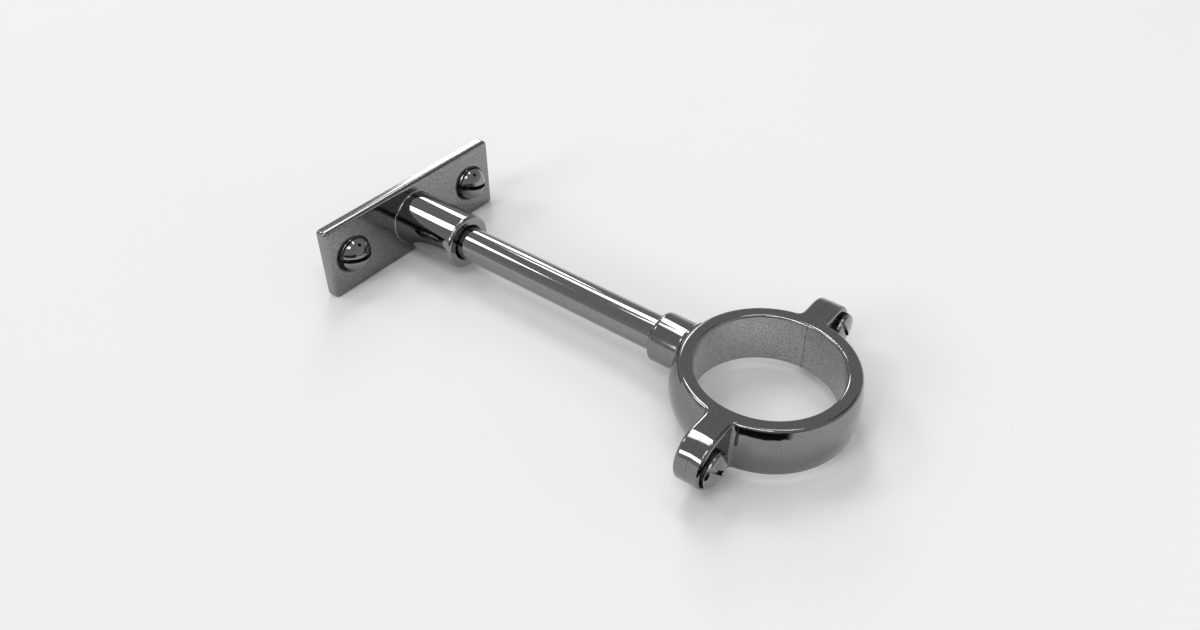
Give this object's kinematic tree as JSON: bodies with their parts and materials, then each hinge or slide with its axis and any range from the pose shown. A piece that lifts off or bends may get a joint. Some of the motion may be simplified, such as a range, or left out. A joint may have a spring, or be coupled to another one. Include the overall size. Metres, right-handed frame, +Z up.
{
  "type": "flush pipe support bracket",
  "caption": "Chrome wall bracket: a flat plate fixed by screws, a round stand-off rod and a split ring that clamps an upright flush pipe.",
  "frame": {"origin": "centre of the wall plate's back face, midway between the wall screws", "axes": "+Y into the wall, so the rod and ring stand out along -Y; +X along the plate; +Z up, along the pipe"},
  "size_m": [0.0732, 0.1648, 0.0228],
  "materials": {
    "polished_chrome": "bright plating on turned and flat bar stock, polished",
    "cast_chrome": "bright plating on a polished casting, bore left satin",
    "screw_chrome": "bright plating on screws, polished heads"
  },
  "bodies": {
    "root": {"wall_plate": "polished_chrome", "rod_boss": "polished_chrome", "support_rod": "polished_chrome", "ring_rear_half": "cast_chrome", "ring_front_half": "cast_chrome", "clamp_screws": "screw_chrome", "wall_screws": "screw_chrome"}
  },
  "joints": []
}
